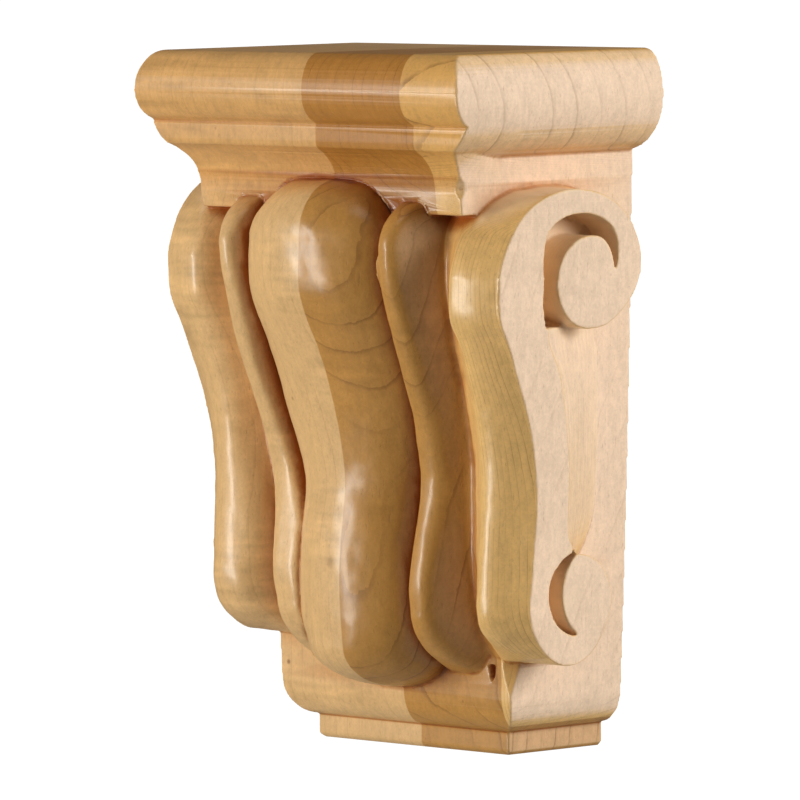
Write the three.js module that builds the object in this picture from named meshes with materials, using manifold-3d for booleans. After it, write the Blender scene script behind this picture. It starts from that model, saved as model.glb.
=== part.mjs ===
import * as THREE from 'three';
import { mergeVertices } from 'three/addons/utils/BufferGeometryUtils.js';
import Module from 'manifold-3d';

const wasm = await Module();
wasm.setup();

// A carved maple corbel: a moulded cap on a neck, a tapering body whose front carries a broad bulge between
// two narrow ridges, a scroll with two volutes raised on each side, and a small moulded foot. It is one solid.
//
// Sizes are in millimetres. A depth is measured forward from the wall, a half width sideways from the middle,
// and a height up from the underside of the foot. The wall is the plane y = 0 and the front looks along -Y.

const HEIGHT = 171;

// Cap, seen from the side: flat top, bullnose, quirk, bead, cavetto and neck.
const TOP_DEPTH = 63;
const NOSE = { height: 161.5, out: 5.8, rise: 9.5, drop: 7.6, foot: 154.3 };
const BEAD = { top: 153.2, bottom: 149.6, depth: 64.3, quirkTop: 153.8, quirk: 0.9 };
const CAVETTO = { bottom: 137, radius: 12.6, end: 117.5 };
const NECK = { depth: 57.2, inset: 0.4, underside: 132.3 };

// Cap, seen from the front: a half-round roll along each side, with a small cove below it at each front corner.
const TOP_HALF = 52;
const ROLL = { height: 160, out: 5.8, radius: 13, rise: 13.8, underside: 146.2 };
const CORNER = { start: 44, end: 58, flare: 3.2, bottom: 140.5 };

// Body sides and foot.
const PANEL = { top: 46.8, bottom: 41, bow: 0.6 };
const FOOT = { top: 15, depth: 37.3, ledge: 6, plinthDepth: 31.5, plinthHalf: 34, edge: 1 };

// Side scrolls: the outer face stands proud of the side panel and leans in towards the foot.
const FACE = { atFoot: 55.1, lean: 0.0325, root: 1 };
const EYE = { depth: 26, height: 115.5, boss: 11.3 };
const EYE_RADII = [11.3, 12.7, 17.0, 19.9, 22.9, 28.4, 31.7];
const LOW_EYE = { depth: 29.5, height: 38.5, back: 11.7, front: 15.8 };
const LEFT_SCROLL = { ahead: 0.9, rise: 2.6 };
const SCROLL_FRONT = [[56.3, 108], [53.2, 101], [49.9, 92.5], [46.6, 83.5], [44.2, 73], [43.5, 63],
  [44.1, 54]];
const BAND_BACK = [[32.7, 56], [32.6, 70], [33.8, 82.7], [36, 93], [39.2, 100], [40.1, 103]];
const FLARE = { reach: 3.2, rise: 4.5 };

// Grooves that part the bosses from the scroll.
const GROOVE = { floor: 49.5, tip: 162, tipRadius: 8.4, end: -68, mouth: -35 };
const STEP = { height: 105, front: 40.6, back: 30.2 };
const GROOVE_WIDTHS = [[-36, 7], [-22, 5.7], [0, 4.4], [22, 5.8], [45, 7.9], [70, 6.3], [98, 4.6], [126, 3.5],
  [162, 0.3]];
const CRESCENT = { floor: 51.2, depth: 28.4, height: 40.6, radius: 10.3, innerRadius: 12, chord: 28.6 };

// Ground between the volutes, which falls from the scroll band back to the flat panel.
const RAMP = {
  toe: [[45, 19.5], [52, 14], [61, 11], [95, 10.6], [104, 12.5], [110, 15]],
  heights: [45, 49, 53, 58, 64, 70, 83, 93, 100, 104, 110],
  root: 38,
  step: 0.3,
};

// Front carving: the depth of each crest at some heights, how it rounds off at each end, and the spans of
// height over which a width changes.
const BULGE = {
  crest: [[27, 57.7], [35, 58.3], [43, 58.5], [52.5, 57.9], [60, 56.8], [67, 56.1], [78, 57.7], [90, 60.8],
    [99.5, 64.4], [107, 68.1], [113, 70.2], [119, 70.8], [126, 70.4]],
  low: { height: 15.4, depth: 37, power: 0.5 },
  high: { height: 140.3, depth: 56.5, power: 0.45 },
  swell: 12,
  halfLow: 19.6,
  halfHigh: 24.2,
  widening: [58, 92],
  foot: [24, 15.2],
  rootSpan: [17, 33],
  taper: 0.36,
  taperSpan: [126, 144],
};
const RIDGE = {
  crest: [[36, 53], [42, 53.8], [48, 53.3], [53, 52.5], [60, 51.2], [66, 50.7], [72, 51.3], [77.5, 52.6],
    [84, 54.7], [91.5, 57.7], [100, 60.7], [107, 63], [112, 64.5], [118, 66], [124, 66.7]],
  low: { height: 19, depth: 33, power: 0.75 },
  high: { height: 135.8, depth: 55.5, power: 0.7 },
  at: 22.6,
  lean: 0.0542,
  flank: 3.75,
  spread: 0.009,
  squareness: 0.77,
  outerLow: 1.5,
  outerHigh: 1.15,
  leftShift: 0.9,
  narrowing: [98, 120],
};
const VALLEY = {
  floor: [[22, 35.5], [26, 38], [32, 41], [40, 43.2], [50, 44.2], [61, 44.5], [75, 45.5], [90, 48.5],
    [105, 52.5], [118, 54.5], [128, 53.5], [134, 50]],
  at: 33.4,
  lean: 0.042,
};
const SHOULDER = { at: 45, lean: 0.018, low: 6.4, high: 2.8, sinking: [60, 115], start: [19, 34] };
const CARVED = { bottom: 15.45, top: 140.25, rows: 52, back: 28, sideBack: 44, thick: 6, edge: 0.35 };
const WOOD = { color: '#d9b07a', roughness: 0.42, metalness: 0 };

const radians = THREE.MathUtils.degToRad;
const lerp = THREE.MathUtils.lerp;
const smoothstep = THREE.MathUtils.smoothstep;

// A smooth function through [height, value] pairs, level past both ends.
function rail(pairs) {
  const slope = (i) => {
    const a = pairs[Math.max(i - 1, 0)];
    const b = pairs[Math.min(i + 1, pairs.length - 1)];
    return (b[1] - a[1]) / (b[0] - a[0]);
  };
  return (height) => {
    const h = THREE.MathUtils.clamp(height, pairs[0][0], pairs.at(-1)[0]);
    const i = Math.min(pairs.findLastIndex((p) => p[0] <= h), pairs.length - 2);
    const [h0, v0] = pairs[i];
    const [h1, v1] = pairs[i + 1];
    const span = h1 - h0;
    const t = (h - h0) / span;
    const ends = v0 * (1 + 2 * t) * (1 - t) ** 2 + v1 * t * t * (3 - 2 * t);
    const slopes = slope(i) * t * (1 - t) ** 2 + slope(i + 1) * t * t * (t - 1);
    return ends + slopes * span;
  };
}

// A crest follows its rail and rounds off to a given depth at its low and its high end.
function crest({ crest: pairs, low, high }) {
  const along = rail(pairs);
  const [first, last] = [pairs[0], pairs.at(-1)];
  const rounded = (from, end, height) => {
    const t = Math.min((height - from[0]) / (end.height - from[0]), 1);
    return lerp(end.depth, from[1], (1 - t * t) ** end.power);
  };
  return (height) => {
    if (height < first[0]) return rounded(first, low, height);
    if (height > last[0]) return rounded(last, high, height);
    return along(height);
  };
}

// Outline points of an elliptical arc, between two angles in degrees.
function arc(x, y, radiusX, radiusY, from, to, count) {
  const clockwise = to < from;
  const curve = new THREE.EllipseCurve(x, y, radiusX, radiusY, radians(from), radians(to), clockwise);
  return curve.getPoints(count);
}

const point = (x, y) => new THREE.Vector2(x, y);
const panelHalf = (height) => {
  const t = THREE.MathUtils.clamp((height - FOOT.top) / (ROLL.underside - FOOT.top), 0, 1);
  return lerp(PANEL.bottom, PANEL.top, t) + PANEL.bow * 4 * t * (1 - t);
};
const faceHalf = (height) => FACE.atFoot + FACE.lean * height;

// Solids: triangles with shared corners, turned so that they enclose a positive volume.
function solid(vertices, triangles) {
  const corner = (index) => new THREE.Vector3().fromArray(vertices, 3 * index);
  let volume = 0;
  for (let i = 0; i < triangles.length; i += 3) {
    const [a, b, c] = [0, 1, 2].map((k) => corner(triangles[i + k]));
    volume += a.dot(b.cross(c));
  }
  const outward = volume > 0 ? triangles : [...triangles].reverse();
  return new wasm.Manifold(new wasm.Mesh({
    numProp: 3,
    vertProperties: new Float32Array(vertices),
    triVerts: new Uint32Array(outward),
  }));
}

// A solid from a closed outline swept through several slices. Each slice is a list of Vector3, and flatten
// turns a corner into the plane in which the two end slices are filled.
function loft(outlines, flatten) {
  const turned = THREE.ShapeUtils.isClockWise(outlines[0].map(flatten));
  const slices = turned ? outlines.map((outline) => [...outline].reverse()) : outlines;
  const count = slices[0].length;
  const vertices = slices.flat().flatMap((corner) => corner.toArray());
  const triangles = [];
  for (let s = 0; s + 1 < slices.length; s += 1) {
    for (let i = 0; i < count; i += 1) {
      const a = s * count + i;
      const b = s * count + ((i + 1) % count);
      triangles.push(a, b, b + count, a, b + count, a + count);
    }
  }
  const last = (slices.length - 1) * count;
  for (const face of THREE.ShapeUtils.triangulateShape(slices[0].map(flatten), [])) {
    triangles.push(...[...face].reverse());
  }
  for (const face of THREE.ShapeUtils.triangulateShape(slices.at(-1).map(flatten), [])) {
    triangles.push(...face.map((index) => index + last));
  }
  return solid(vertices, triangles);
}

// A prism of an outline in the plane of depth and height, between two half widths.
function sidePrism(outline, from, to) {
  const slices = [from, to].map((x) => outline.map((p) => new THREE.Vector3(x, -p.x, p.y)));
  return loft(slices, (corner) => point(-corner.y, corner.z));
}

// Cap, neck and foot: the front profile run across the width, cut by the side profile run from front to back.
function frontProfile() {
  const noseFoot = Math.asin((NOSE.foot - NOSE.height) / NOSE.drop);
  return [
    point(0, 0),
    point(FOOT.plinthDepth - FOOT.edge, 0),
    point(FOOT.plinthDepth, FOOT.edge),
    ...arc(FOOT.plinthDepth, FOOT.top, FOOT.depth - FOOT.plinthDepth, FOOT.top - FOOT.ledge, -90, 0, 7),
    point(FOOT.depth, NECK.underside),
    point(NECK.depth - NECK.inset, NECK.underside),
    ...arc(NECK.depth + CAVETTO.radius, CAVETTO.bottom, CAVETTO.radius, CAVETTO.radius, 180, CAVETTO.end, 7),
    point(BEAD.depth, BEAD.bottom),
    point(BEAD.depth, BEAD.top),
    point(BEAD.depth - BEAD.quirk, BEAD.quirkTop),
    ...arc(TOP_DEPTH, NOSE.height, NOSE.out, NOSE.drop, THREE.MathUtils.radToDeg(noseFoot), 0, 6),
    ...arc(TOP_DEPTH, NOSE.height, NOSE.out, NOSE.rise, 12, 90, 6),
    point(0, HEIGHT),
  ];
}

function sideProfile(depth) {
  const rollCentre = TOP_HALF + ROLL.out - ROLL.radius;
  const joint = PANEL.top + CORNER.flare * smoothstep(depth, CORNER.start, CORNER.end);
  const rollEnd = -Math.acos((joint - rollCentre) / ROLL.radius);
  const jointHeight = ROLL.height + ROLL.rise * Math.sin(rollEnd);
  const cove = (t) => point(lerp(PANEL.top, joint, t * t), lerp(CORNER.bottom, jointHeight, t));
  const half = [
    point(FOOT.plinthHalf - FOOT.edge, 0),
    point(FOOT.plinthHalf, FOOT.edge),
    ...arc(FOOT.plinthHalf, FOOT.top, PANEL.bottom - FOOT.plinthHalf, FOOT.top - FOOT.ledge, -90, 0, 7),
    ...[40, 65, 90, 115].map((height) => point(panelHalf(height), height)),
    ...[0, 0.4, 0.75].map(cove),
    ...arc(rollCentre, ROLL.height, ROLL.radius, ROLL.rise, THREE.MathUtils.radToDeg(rollEnd), 0, 9),
    ...arc(TOP_HALF, ROLL.height, ROLL.out, HEIGHT - ROLL.height, 14, 90, 6),
  ];
  return [...half, ...half.map((p) => point(-p.x, p.y)).reverse()];
}

function core() {
  const along = sidePrism(frontProfile(), -TOP_HALF * 1.3, TOP_HALF * 1.3);
  const depths = [0, 0.35, 0.65, 1].map((t) => lerp(CORNER.start, CORNER.end, t));
  const slices = [-1, ...depths, TOP_DEPTH * 1.3].map((depth) => (
    sideProfile(depth).map((p) => new THREE.Vector3(p.x, -depth, p.y))
  ));
  return along.intersect(loft(slices, (corner) => point(corner.x, corner.z)));
}

// Scroll outline, in depth and height. The upper volute starts under its boss and winds back, up and forward.
const eyeRadius = rail(EYE_RADII.map((radius, i) => [i * 45, radius]));
const around = (eye, radius, degrees) => point(
  eye.depth + radius * Math.cos(radians(degrees)),
  eye.height + radius * Math.sin(radians(degrees)),
);

function upperVolute(flare) {
  const turn = [];
  for (let s = 0; s <= 264; s += 8) {
    const spread = flare * FLARE.reach * Math.exp(-(((s - 118) / 48) ** 2));
    turn.push(around(EYE, eyeRadius(s) + spread, -100 - s));
  }
  return turn;
}

function lowerVolute() {
  const turn = [];
  for (let angle = 8; angle >= -272; angle -= 10) {
    const radius = lerp(LOW_EYE.back, LOW_EYE.front, smoothstep(angle, -155, -65));
    turn.push(around(LOW_EYE, radius, angle));
  }
  return turn;
}

// Carved by eye: the left scroll stands a little higher and further forward than the right one.
function placed(outline, side) {
  return side > 0 ? outline : outline.map((p) => point(p.x + LEFT_SCROLL.ahead, p.y + LEFT_SCROLL.rise));
}

function scrollOutline(flare, side) {
  const front = new THREE.SplineCurve([
    around(EYE, eyeRadius(256), -356),
    ...SCROLL_FRONT.map(([depth, height]) => point(depth, height)),
    around(LOW_EYE, LOW_EYE.front, 10),
  ]);
  return placed([
    ...upperVolute(flare).slice(0, -1),
    ...front.getPoints(30).slice(1),
    ...lowerVolute(),
    ...BAND_BACK.map(([depth, height]) => point(depth, height)),
    point(STEP.front - 1.2, STEP.height + 1),
    point(36, STEP.height + 2),
    around(EYE, EYE.boss, -72),
    around(EYE, EYE.boss, -86),
  ], side);
}

// The front edge of the scroll's outer face, as a depth for each height.
function arrisOf(side) {
  const outline = scrollOutline(0, side);
  const top = outline.reduce((best, p, i) => (p.y > outline[best].y ? i : best), 0);
  const bottom = outline.reduce((best, p, i) => (p.y < outline[best].y ? i : best), 0);
  return outline.slice(top, bottom + 1);
}
const arrises = { right: arrisOf(1), left: arrisOf(-1) };
const arrisAt = (side) => (side > 0 ? arrises.right : arrises.left);

function arrisDepth(height, side) {
  const stretch = arrisAt(side);
  const i = stretch.findIndex((p) => p.y <= height);
  if (i < 0) return stretch.at(-1).x;
  if (i === 0) return stretch[0].x;
  const [upper, lower] = [stretch[i - 1], stretch[i]];
  return lerp(lower.x, upper.x, (height - lower.y) / (upper.y - lower.y));
}

function scrollRelief(side) {
  const levels = [
    { at: (height) => panelHalf(height) - FACE.root, flare: 1 },
    { at: (height) => panelHalf(height), flare: 1 },
    { at: (height) => panelHalf(height) + FLARE.rise / 2, flare: 0.3 },
    { at: (height) => panelHalf(height) + FLARE.rise, flare: 0 },
    { at: faceHalf, flare: 0 },
  ];
  const slices = levels.map(({ at, flare }) => (
    scrollOutline(flare, side).map((p) => new THREE.Vector3(side * at(p.y), -p.x, p.y))
  ));
  return loft(slices, (corner) => point(-corner.y, corner.z));
}

// Front carving across the width at one height: bulge, narrow floor, ridge, valley, shoulder and arris.
const bulgeCrest = crest(BULGE);
const ridgeCrest = crest(RIDGE);
const valleyFloor = rail(VALLEY.floor);
const endRound = (height, from, end) => {
  const t = THREE.MathUtils.clamp((height - from) / (end - from), 0, 1);
  return Math.sqrt(Math.max(1 - t * t, 0));
};

// The half width of a row: it reaches the scroll's outer face where there is a scroll, and ends in the body
// above and below it.
function rowEnd(height, side) {
  const [low, high] = [arrisAt(side).at(-1).y, arrisAt(side)[0].y];
  const inside = height > (low + high) / 2 ? CARVED.sideBack + 0.5 : FOOT.depth + 1;
  const reach = Math.min((height - low) / 2, (high - height) / 1.2, 1);
  return lerp(inside, faceHalf(height) - CARVED.edge, Math.max(reach, 0));
}

function section(height, side) {
  const end = rowEnd(height, side);
  const upper = smoothstep(height, ...RIDGE.narrowing);
  const scrolled = height > arrisAt(side).at(-1).y && height < arrisAt(side)[0].y;
  const arris = scrolled ? arrisDepth(height, side) : CARVED.back + 2;
  const shoulder = lerp(SHOULDER.low, SHOULDER.high, smoothstep(height, ...SHOULDER.sinking))
    * smoothstep(height, ...SHOULDER.start);
  const floorLow = FOOT.depth - 1.5;
  const bulgeHalf = lerp(BULGE.halfLow, BULGE.halfHigh, smoothstep(height, ...BULGE.widening))
    * endRound(height, ...BULGE.foot) * (1 - BULGE.taper * smoothstep(height, ...BULGE.taperSpan));
  return {
    arris,
    bulge: bulgeCrest(height),
    bulgeHalf: Math.max(bulgeHalf, 0.5),
    floor: lerp(floorLow, bulgeCrest(height) - BULGE.swell, smoothstep(height, ...BULGE.rootSpan)),
    ridge: ridgeCrest(height),
    ridgeAt: RIDGE.at + RIDGE.lean * height - (side < 0 ? RIDGE.leftShift * upper : 0),
    ridgeFall: lerp(RIDGE.outerLow, RIDGE.outerHigh, upper),
    flank: RIDGE.flank + RIDGE.spread * height,
    valley: valleyFloor(height),
    valleyAt: VALLEY.at + VALLEY.lean * height,
    shoulder: arris + (scrolled ? shoulder : 0),
    shoulderAt: Math.min(SHOULDER.at + SHOULDER.lean * height, end - 2),
    end,
  };
}

const wave = (t) => 0.5 + 0.5 * Math.cos(Math.PI * t);

// Half a row, from the middle out to the side and round to the back: [half width, depth] pairs.
function halfRow(height, side) {
  const s = section(height, side);
  const row = [];
  for (let k = 0; k <= 6; k += 1) {
    const angle = (k / 6) * Math.PI / 2;
    row.push([s.bulgeHalf * Math.sin(angle), s.floor + Math.max(s.bulge - s.floor, 0) * Math.cos(angle)]);
  }
  const ridgeRise = Math.max(s.ridge - s.floor, 0);
  for (let k = 0; k <= 4; k += 1) {
    const angle = (k / 4) * Math.PI / 2;
    const out = Math.max(Math.cos(angle), 0) ** RIDGE.squareness;
    const up = Math.sin(angle) ** RIDGE.squareness;
    row.push([s.ridgeAt - s.flank * out, s.floor + ridgeRise * up]);
  }
  for (const t of [0.3, 0.5, 0.7, 0.85, 1]) {
    const depth = lerp(s.valley, Math.max(s.ridge, s.valley), wave(t ** s.ridgeFall));
    row.push([lerp(s.ridgeAt, s.valleyAt, t), depth]);
  }
  for (const t of [0.3, 0.6, 0.85, 1]) {
    row.push([lerp(s.valleyAt, s.shoulderAt, t), lerp(s.shoulder, s.valley, wave(t))]);
  }
  for (const t of [0.3, 0.6, 0.85, 1]) {
    row.push([lerp(s.shoulderAt, s.end, t), lerp(s.arris - 0.15, s.shoulder, Math.cos(t * Math.PI / 2))]);
  }
  row.push([s.end, Math.max(s.arris - CARVED.thick, CARVED.back + 0.5)]);
  row.push([Math.min(CARVED.sideBack, s.end - 0.5), CARVED.back]);
  return row;
}

// Heights of the rows, closer together where the carving rounds off at each end.
function rowHeights(from, to, rows) {
  return Array.from({ length: rows + 1 }, (_, k) => {
    const t = k / rows;
    return lerp(from, to, t - 0.11 * Math.sin(2 * Math.PI * t));
  });
}

function carvedFront() {
  const slices = rowHeights(CARVED.bottom, CARVED.top, CARVED.rows).map((height) => {
    const left = halfRow(height, -1).slice(1).map(([x, depth]) => [-x, depth]).reverse();
    return [...left, ...halfRow(height, 1)].map(([x, depth]) => new THREE.Vector3(x, -depth, height));
  });
  return loft(slices, (corner) => point(corner.x, corner.y));
}

// The ground that slopes from the scroll band back to the panel, as plan sections at some heights.
function ramp(side) {
  const bandBack = rail(BAND_BACK.map(([depth, height]) => [height, depth]));
  const toe = rail(RAMP.toe);
  const slices = RAMP.heights.map((level) => {
    const [start, end] = placed([point(toe(level) - 0.8, level), point(bandBack(level) + 0.2, level)], side);
    return [
      [panelHalf(start.y) - 0.5, start.x],
      [faceHalf(end.y) - RAMP.step, end.x],
      [RAMP.root, end.x],
      [RAMP.root, start.x],
    ].map(([x, depth]) => new THREE.Vector3(side * x, -depth, start.y));
  });
  return loft(slices, (corner) => point(corner.x, corner.y));
}

// The upper groove follows the boss from its tip to a level step; the lower one is a crescent.
function grooves(side) {
  const width = rail(GROOVE_WIDTHS);
  const bossEdge = (angle) => lerp(EYE.boss, GROOVE.tipRadius, smoothstep(angle, 100, GROOVE.tip));
  const outer = [];
  const inner = [];
  for (let angle = GROOVE.tip; angle >= GROOVE.end; angle -= 10) {
    if (angle > GROOVE.mouth) outer.push(around(EYE, bossEdge(angle) + width(angle), angle));
    inner.push(around(EYE, bossEdge(angle), angle));
  }
  const step = [point(STEP.front, STEP.height), point(STEP.back, STEP.height)];
  const upper = placed([...outer, ...step, ...inner.reverse()], side);
  const half = Math.acos((CRESCENT.chord - CRESCENT.depth) / CRESCENT.radius);
  const innerHalf = Math.asin(CRESCENT.radius * Math.sin(half) / CRESCENT.innerRadius);
  const innerCentre = CRESCENT.chord - CRESCENT.innerRadius * Math.cos(innerHalf);
  const { depth, height, radius, innerRadius } = CRESCENT;
  const [outerEnd, innerEnd] = [half, innerHalf].map(THREE.MathUtils.radToDeg);
  const lower = placed([
    ...arc(depth, height, radius, radius, outerEnd, -outerEnd, 14),
    ...arc(innerCentre, height, innerRadius, innerRadius, -innerEnd, innerEnd, 8).slice(1, -1),
  ], side);
  const beyond = side * (FACE.atFoot + 10);
  return sidePrism(upper, side * GROOVE.floor, beyond).add(sidePrism(lower, side * CRESCENT.floor, beyond));
}

function corbelSolid() {
  let body = core().add(carvedFront());
  for (const side of [1, -1]) {
    body = body.add(scrollRelief(side).add(ramp(side))).subtract(grooves(side));
  }
  return body;
}

function geometryOf(shape) {
  const { vertProperties, triVerts } = shape.getMesh();
  const geometry = new THREE.BufferGeometry();
  geometry.setAttribute('position', new THREE.Float32BufferAttribute(vertProperties, 3));
  geometry.setIndex(Array.from(triVerts));
  return mergeVertices(geometry, 1e-4);
}

const corbel = new THREE.Mesh(geometryOf(corbelSolid()), new THREE.MeshStandardMaterial(WOOD));
corbel.name = 'corbel';
corbel.position.z = -HEIGHT / 2;

const group = new THREE.Group();
group.add(corbel);

export default group;
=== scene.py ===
import math

import bmesh
import bpy
import numpy as np
from bpy.props import FloatProperty, FloatVectorProperty, IntProperty, PointerProperty
from mathutils import Matrix, Vector, noise
from mathutils.bvhtree import BVHTree
from mathutils.kdtree import KDTree


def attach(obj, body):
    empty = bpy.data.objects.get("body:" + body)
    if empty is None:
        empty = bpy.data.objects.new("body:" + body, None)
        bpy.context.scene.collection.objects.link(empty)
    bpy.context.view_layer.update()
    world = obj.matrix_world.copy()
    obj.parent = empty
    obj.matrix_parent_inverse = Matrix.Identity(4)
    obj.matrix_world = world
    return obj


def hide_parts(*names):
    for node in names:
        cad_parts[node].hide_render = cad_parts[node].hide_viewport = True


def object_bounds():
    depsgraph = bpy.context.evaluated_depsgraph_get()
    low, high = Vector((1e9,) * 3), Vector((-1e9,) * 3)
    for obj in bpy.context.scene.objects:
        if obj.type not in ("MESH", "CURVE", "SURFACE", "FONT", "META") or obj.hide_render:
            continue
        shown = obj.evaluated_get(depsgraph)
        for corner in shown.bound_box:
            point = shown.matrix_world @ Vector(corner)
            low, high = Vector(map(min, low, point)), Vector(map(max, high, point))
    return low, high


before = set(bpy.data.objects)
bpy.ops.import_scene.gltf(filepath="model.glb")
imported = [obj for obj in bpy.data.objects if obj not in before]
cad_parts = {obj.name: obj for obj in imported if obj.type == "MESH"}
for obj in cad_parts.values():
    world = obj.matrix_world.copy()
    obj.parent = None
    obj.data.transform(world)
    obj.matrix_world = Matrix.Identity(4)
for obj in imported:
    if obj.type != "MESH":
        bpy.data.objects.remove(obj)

bl_info = {
    "name": "Carved maple corbel",
    "version": (1, 0, 0),
    "blender": (4, 5, 0),
    "location": "3D View > Sidebar > Corbel",
    "description": "Carves a maple corbel bracket and sets up its studio",
    "category": "Add Mesh",
}

CAD_BOX = [list(corner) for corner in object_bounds()]
MM = 0.001

# Sizes are in millimetres: a depth is forward from the wall, a half width sideways from the middle, and a
# height up from the underside of the foot. A pair of heights is where a change starts and ends.
HEIGHT = 171

TOP_DEPTH = 63
NOSE = {"height": 161.5, "out": 5.8, "rise": 9.5, "drop": 7.6, "foot": 154.3}
BEAD = {"top": 153.8, "bottom": 148.2, "depth": 64.3, "quirk": 0.9}
CAVETTO = {"bottom": 137, "radius": 12.6, "end": 117.5}
NECK = {"depth": 57.2, "underside": 132.3}

TOP_HALF = 52
ROLL = {"height": 160, "out": 5.8, "radius": 13, "rise": 13.8, "underside": 146.2}
CORNER = {"start": 44, "end": 58, "flare": 3.2, "bottom": 140.5}

PANEL = {"top": 46.8, "bottom": 41, "bow": 0.6}
FOOT = {"top": 15, "depth": 37.3, "ledge": 6, "plinth_depth": 31.5, "plinth_half": 34, "edge": 1}

FACE = {"at_foot": 55.1, "lean": 0.0325, "root": 1}
EYE = {"depth": 26, "height": 115.5, "boss": 11.3}
EYE_RADII = [11.3, 12.7, 17.0, 19.9, 22.9, 28.4, 31.7]
LOW_EYE = {"depth": 29.5, "height": 38.5, "back": 11.7, "front": 15.8}
LEFT_SCROLL = {"ahead": 0.9, "rise": 2.6}
SCROLL_FRONT = [(56.3, 108), (53.2, 101), (49.9, 92.5), (46.6, 83.5), (44.2, 73), (43.5, 63), (44.1, 54)]
BAND_BACK = [(32.7, 56), (32.6, 70), (33.8, 82.7), (36, 93), (39.2, 100), (40.1, 103)]
# The scroll's flank spreads out towards the panel: shares of the rise, and of the reach there.
FLARE = {"reach": 3.2, "rise": 4.5, "steps": ((0, 1), (0.25, 0.55), (0.5, 0.25), (0.75, 0.08), (1, 0))}

GROOVE = {"floor": 49.5, "tip": 162, "tip_radius": 8.4, "end": -68, "step": 105, "mouth": -35, "outside": 66,
          "square_end": (40.6, 30.2)}
GROOVE_WIDTHS = [(-36, 7), (-22, 5.7), (0, 4.4), (22, 5.8), (45, 7.9), (70, 6.3), (98, 4.6), (126, 3.5),
                 (162, 0.3)]
CRESCENT = {"floor": 51.2, "depth": 28.4, "height": 40.6, "radius": 10.3, "inner_radius": 12, "chord": 28.6}
RAMP = {"toe": [(45, 19.5), (52, 14), (61, 11), (95, 10.6), (104, 12.5), (110, 15)], "root": 38, "step": 0.3}

BULGE = {
    "crest": [(27, 57.7), (35, 58.3), (43, 58.5), (52.5, 57.9), (60, 56.8), (67, 56.1), (78, 57.7), (90, 60.8),
              (99.5, 64.4), (107, 68.1), (113, 70.2), (119, 70.8), (126, 70.4)],
    "low": {"height": 15.4, "depth": 37, "power": 0.5},
    "high": {"height": 140.3, "depth": 56.5, "power": 0.45},
    "swell": 12,
    "root": 1.5,
    "rooted": (17, 33),
    "half_low": 19.6,
    "half_high": 24.2,
    "widening": (58, 92),
    "foot": (24, 15.2),
    "taper": 0.36,
    "tapering": (126, 144),
}
RIDGE = {
    "crest": [(36, 53), (42, 53.8), (48, 53.3), (53, 52.5), (60, 51.2), (66, 50.7), (72, 51.3), (77.5, 52.6),
              (84, 54.7), (91.5, 57.7), (100, 60.7), (107, 63), (112, 64.5), (118, 66), (124, 66.7)],
    "low": {"height": 19, "depth": 33, "power": 0.75},
    "high": {"height": 135.8, "depth": 55.5, "power": 0.7},
    "half": 2.05,
    "spread": 0.009,
    "at": 22.6,
    "lean": 0.0542,
    "flank": 1.7,
    "squareness": 0.77,
    "narrowing": (98, 120),
    "outer_low": 1.5,
    "outer_high": 1.15,
    "left_shift": 0.9,
}
VALLEY = {
    "floor": [(22, 35.5), (26, 38), (32, 41), (40, 43.2), (50, 44.2), (61, 44.5), (75, 45.5), (90, 48.5),
              (105, 52.5), (118, 54.5), (128, 53.5), (134, 50)],
    "at": 33.4,
    "lean": 0.042,
}
SHOULDER = {"at": 45, "lean": 0.018, "low": 6.4, "high": 2.8, "sinking": (60, 115), "start": (19, 34)}
# The left side is carved fuller below the waist, and the right scroll's crest is narrower at the top.
LOWER_LEFT = {"heights": (52, 80), "closing": (24, 32), "turn": 1.12, "valley": 2, "ridge": 1.8, "square": 0.17,
              "fall": (0.75, 0.42)}
UPPER_RIGHT = {"heights": (95, 108), "fall": 0.35, "shoulder": 2.2}
CARVED = {"bottom": 15.45, "top": 140.55, "back": 28, "side_back": 44, "thick": 6, "edge": 0.35, "rows": 241,
          "bunching": 0.11}

# Flaws. The pared corner: a height and how much is cut there. The notch: a height and points of half width and
# depth. The chip: height, cut and reach outwards. The sliver: height, half width, depth and half its thickness.
PARED_CORNER = ((13.6, 0.1), (16, 1.5), (19, 2.7), (22, 3.5), (25.5, 4.1))
TORN_NOTCH = ((18.2, [(33.9, 38), (34.7, 38), (34.4, 36.9)]), (20, [(33.1, 38), (35.7, 38), (34.7, 35.2)]),
              (22.6, [(32.7, 38), (36.2, 38), (34.2, 34)]))
NECK_CHIP = ((136, 0.3, 0), (137, 1.3, 0), (138.6, 2.1, 0.1), (140.6, 1.4, 0.4), (141.8, 0.3, 0.7))
SLIVER = ((112.5, 25.2, 61.6, 0.15), (115, 24.9, 63.1, 0.5), (118, 24.9, 64.3, 0.6), (120.5, 25.3, 65, 0.45),
          (122.5, 25.9, 65.2, 0.15))
TICK = {"outline": [(30.4, 50.4), (31.4, 50.6), (31.2, 53.6), (30.7, 53.6)], "floor": 55.9}
# Small dark spots in the wood: half width, depth, height, radius, and strength.
KNOTS = ((0, 57.5, 47, 2.2, 0.4), (-38.5, 37.3, 18.8, 0.9, 0.7), (-13.5, 57.8, 86.3, 0.8, 0.5),
         (-33, 64, 152, 0.6, 0.4), (12, 62, 160, 0.7, 0.4), (24, 37.3, 13, 0.6, 0.4), (59, 12, 164, 0.7, 0.4))

# Scoops in the floor of the upper groove. The start and the end are angles around the eye, in degrees.
GOUGE = {"length": 4.6, "width": 4.4, "depth": 0.7, "spacing": 0.62, "start": 120, "end": -30, "seed": 3}
UNEVEN = {"wave": (0.13, 0.13, 0.09), "ripple": 0.33, "ripple_share": 0.4, "sawn": 0.05, "carved": 0.16}
LIP = {"proud": 0.45, "full": 0.9, "gone": 2.1, "within": 3, "rows": (126, 140, 57), "top": 143}
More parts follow.
